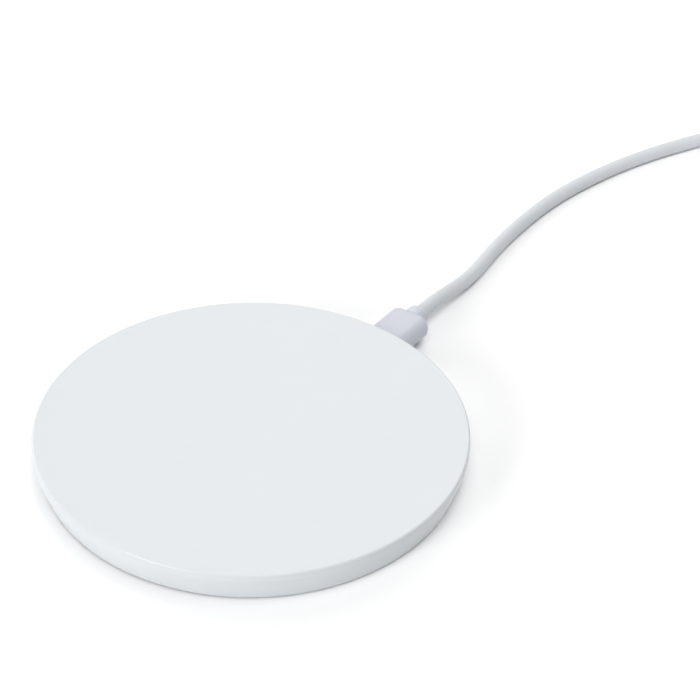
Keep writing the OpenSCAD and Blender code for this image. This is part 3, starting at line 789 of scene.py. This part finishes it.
def make_winding():
    """One litz wire: from its inner pad through the shield's slot, round the flat winding and out again."""
    low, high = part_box("transmit_coil")
    lead_low, lead_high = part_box("coil_leads")
    shield_low, shield_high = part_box("ferrite_shield")
    wire = (high.z - low.z) * 0.96
    lead_r, pad_length = 0.5 * mm, 1.6 * mm
    inner_bend, outer_bend = 0.5 * mm, 0.8 * mm
    height = (low.z + high.z) / 2
    slot_z = (shield_low.z + shield_high.z) / 2
    pad_z = lead_low.z + lead_r
    pad_y = lead_high.y - pad_length
    inner_x, outer_x = lead_high.x - lead_r, lead_low.x + lead_r
    turns, steps = 9, 60
    first_angle, last_angle = radians(126), radians(104) + 2 * pi * turns
    first_r, last_r = 11.05 * mm, high.x - wire / 2
    slot_y = 9 * mm
    inner = [
        Vector((inner_x, lead_high.y, pad_z)), Vector((inner_x, pad_y, pad_z)),
        Vector((inner_x, pad_y, slot_z)), Vector((inner_x, slot_y, slot_z)),
        Vector((inner_x, slot_y, height)), Vector((-5.6 * mm, 9.2 * mm, height)),
    ]
    count = turns * steps
    spiral = []
    for i in range(count + 1):
        t = i / count
        angle = first_angle + (last_angle - first_angle) * t
        radius = first_r + (last_r - first_r) * t
        spiral.append(Vector((radius * cos(angle), radius * sin(angle), height)))
    outer = [
        Vector((-7.0 * mm, 21.0 * mm, height)), Vector((outer_x, 22.4 * mm, height)),
        Vector((outer_x, pad_y, height)), Vector((outer_x, pad_y, pad_z)),
        Vector((outer_x, lead_high.y, pad_z)),
    ]
    start = rounded_path(inner + spiral[:1], inner_bend)
    end = rounded_path(spiral[-1:] + outer, outer_bend)
    path = start + spiral[1:-1] + end
    coil = make_mesh("litz_winding", *skin(tube_rows(path, wire)), "litz_copper", "pad")
    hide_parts("transmit_coil", "coil_leads")


def make_chip_parts(node, body_name, cap_name, material):
    """Fired bodies and tinned end caps of surface-mount parts."""
    bodies, caps = [], []
    proud, body_edge, cap_edge = 0.03 * mm, 0.06 * mm, 0.09 * mm
    for low, high in loose_boxes(node):
        cap = (high.x - low.x) * 0.18
        inset = Vector((cap * 0.5, proud, proud))
        bodies.append(block_rows(low + inset, high - inset, body_edge))
        for start, end in ((low.x, low.x + cap), (high.x - cap, high.x)):
            caps.append(block_rows(Vector((start, low.y, low.z)), Vector((end, high.y, high.z)), cap_edge))
    body = make_mesh(body_name, *join_skins(bodies), material, "pad")
    cap = make_mesh(cap_name, *join_skins(caps), "can_steel", "pad")
    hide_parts(node)
    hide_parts(node)


def make_packages(node, body_name, pad_name, pads, four_sides):
    """Leadless packages with a round spot by their first pad and a row of pads along two or four sides."""
    bodies, feet = [], []
    proud, under, half_pad, pad_height = 0.3 * mm, 0.1 * mm, 0.15 * mm, 0.2 * mm
    body_edge, pad_edge = 0.08 * mm, 0.04 * mm
    spot_inset, spot_r, spot_top_r, middle_r, raised = 0.7 * mm, 0.3 * mm, 0.28 * mm, 0.02 * mm, 0.02 * mm
    reach = (proud + under) / 2
    for low, high in loose_boxes(node):
        side = Vector((proud if four_sides else 0, proud, 0))
        body_low, body_high = low + side, high - side
        bodies.append(block_rows(body_low, body_high, body_edge))
        spot = Vector((body_low.x + spot_inset, body_high.y - spot_inset, 0))
        profile = [(middle_r, body_high.z - raised), (spot_r, body_high.z - raised), (spot_r, body_high.z)]
        profile += [(spot_top_r, body_high.z + raised), (middle_r, body_high.z + raised)]
        bodies.append(turned(profile, 20, lambda x, y, z, c=spot: Vector((c.x + x, c.y + y, z))))
        centre = (body_low + body_high) / 2
        pitch = (body_high.x - body_low.x) * 0.84 / pads
        across = (body_high.y - body_low.y) / 2 - under + reach
        for sideways in ((False, True) if four_sides else (False,)):
            for sign in (-1, 1):
                for i in range(pads):
                    along = (i - (pads - 1) / 2) * pitch
                    place, half = (along, sign * across), (half_pad, reach)
                    if sideways:
                        place, half = place[::-1], half[::-1]
                    middle = Vector((centre.x + place[0], centre.y + place[1], low.z))
                    half = Vector((*half, 0))
                    top = middle + half + Vector((0, 0, pad_height))
                    feet.append(block_rows(middle - half, top, pad_edge))
    body = make_mesh(body_name, *join_skins(bodies), "chip_black", "pad")
    foot = make_mesh(pad_name, *join_skins(feet), "can_steel", "pad")
    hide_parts(node)
    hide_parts(node)


def make_inductor():
    """Moulded power inductor with rounded corners and a raised round face."""
    low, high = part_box("power_inductor")
    raised, sunk, middle_r = 0.3 * mm, 0.1 * mm, 0.05 * mm
    face_r, face_edge = 1.9 * mm, 0.15 * mm
    body_edge, body_corner = 0.25 * mm, 1.0 * mm
    centre = (low + high) / 2
    shoulder = Vector((high.x, high.y, high.z - raised))
    disc = [(middle_r, shoulder.z - sunk), (face_r, shoulder.z - sunk)]
    disc += arc((face_r - face_edge, high.z - face_edge), face_edge, 0, 90, 4) + [(middle_r, high.z)]
    body = make_mesh("moulded_inductor", *join_skins([
        block_rows(low, shoulder, body_edge, body_corner),
        turned(disc, 40, lambda x, y, z: Vector((centre.x + x, centre.y + y, z))),
    ]), "ferrite_dark", "pad")
    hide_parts("power_inductor")


def make_crystal():
    """Crystal in a drawn can, seam-welded to a thin base flange."""
    low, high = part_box("crystal_oscillator")
    flange, flange_edge, flange_corner = 0.16 * mm, 0.05 * mm, 0.4 * mm
    can_inset, can_edge, can_corner = 0.2 * mm, 0.15 * mm, 0.5 * mm
    inset = Vector((can_inset, can_inset, 0))
    can = make_mesh("crystal_can", *join_skins([
        block_rows(low, Vector((high.x, high.y, low.z + flange)), flange_edge, flange_corner),
        block_rows(low + inset + Vector((0, 0, flange / 2)), high - inset, can_edge, can_corner),
    ]), "can_steel", "pad")
    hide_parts("crystal_oscillator")


def make_thermistor():
    """Glass bead under the cover with two wires, which run back through the shield's slot to the board."""
    low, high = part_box("thermistor")
    coil_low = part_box("transmit_coil")[0]
    shield_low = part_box("ferrite_shield")[0]
    centre_x, centre_y = -0.9 * mm, 3 * mm
    bead_r, tip_r = 1.1 * mm, 0.02 * mm
    middle, half = (coil_low.z + high.z) / 2, (high.z - coil_low.z) / 2
    profile = [(tip_r, middle - half)]
    profile += [(bead_r * cos(a), middle + half * sin(a)) for a in (radians(d) for d in range(-80, 81, 10))]
    profile += [(tip_r, middle + half)]
    surfaces = [turned(profile, 32, lambda x, y, z: Vector((centre_x + x, centre_y + y, z)))]
    wire_d, half_gap, bend = 0.4 * mm, 0.5 * mm, 0.3 * mm
    slot_start, slot_end, wire_end = 9 * mm, 17 * mm, 18 * mm
    leave_z, slot_z, board_z = coil_low.z + 0.6 * mm, shield_low.z + 0.3 * mm, low.z + wire_d / 2
    for x in (centre_x - half_gap, centre_x + half_gap):
        route = [
            (centre_y + bead_r * 0.5, leave_z), (slot_start, leave_z), (slot_start, slot_z),
            (slot_end, slot_z), (slot_end, board_z), (wire_end, board_z),
        ]
        wire = [Vector((x, y, z)) for y, z in route]
        surfaces.append(tube_rows(rounded_path(wire, bend), wire_d, 10))
    bead = make_mesh("thermistor_bead", *join_skins(surfaces), "thermistor_glass", "pad")
    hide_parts("thermistor")


# ---- Everything in place ----

NODE_MATERIALS = {
    "top_cover": "cover_plastic", "bottom_cover": "base_plastic", "cover_screws": "screw_steel",
    "board_screws": "screw_steel", "circuit_board": "board_laminate", "controller_chip": "chip_black",
    "power_mosfets": "chip_black", "resonance_capacitors": "ceramic_tan", "input_capacitors": "ceramic_tan",
    "power_inductor": "ferrite_dark", "crystal_oscillator": "can_steel", "chip_resistors": "chip_black",
    "receptacle_shell": "connector_steel", "receptacle_tongue": "insulator_black",
    "receptacle_contacts": "contact_gold", "transmit_coil": "litz_copper", "coil_leads": "litz_copper",
    "ferrite_shield": "ferrite_dark", "coil_adhesive": "adhesive_film", "cover_adhesive": "adhesive_film",
    "thermistor": "thermistor_glass", "plug_shell": "connector_steel", "plug_insert": "insulator_black",
    "plug_contacts": "contact_gold", "usb_a_shell": "connector_steel", "usb_a_insert": "insert_white",
    "usb_a_contacts": "contact_gold",
}

add_camera()
add_floor()
add_backdrop()
add_soft_lights()
bpy.context.scene.view_settings.view_transform = "Standard"

for node, material in NODE_MATERIALS.items():
    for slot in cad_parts[node].material_slots:
        slot.material = MATERIALS[material]

plug_grip = make_plug_grip()
collar = make_collar()
usb_grip = make_usb_grip()
usb_relief = make_usb_relief()
tie = make_tie()
make_feet()

make_winding()
make_chip_parts("resonance_capacitors", "resonance_bodies", "resonance_caps", "ceramic_tan")
make_chip_parts("input_capacitors", "input_bodies", "input_caps", "ceramic_tan")
make_chip_parts("chip_resistors", "resistor_bodies", "resistor_caps", "chip_black")
make_packages("controller_chip", "controller_body", "controller_pads", 8, True)
make_packages("power_mosfets", "mosfet_bodies", "mosfet_pads", 4, False)
make_inductor()
make_crystal()
make_thermistor()

lead = make_curve("lead_cord", lead_route(), CORD_D, "cord_jacket", "cable")
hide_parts("power_cord", "cord_coil", "cord_tail")
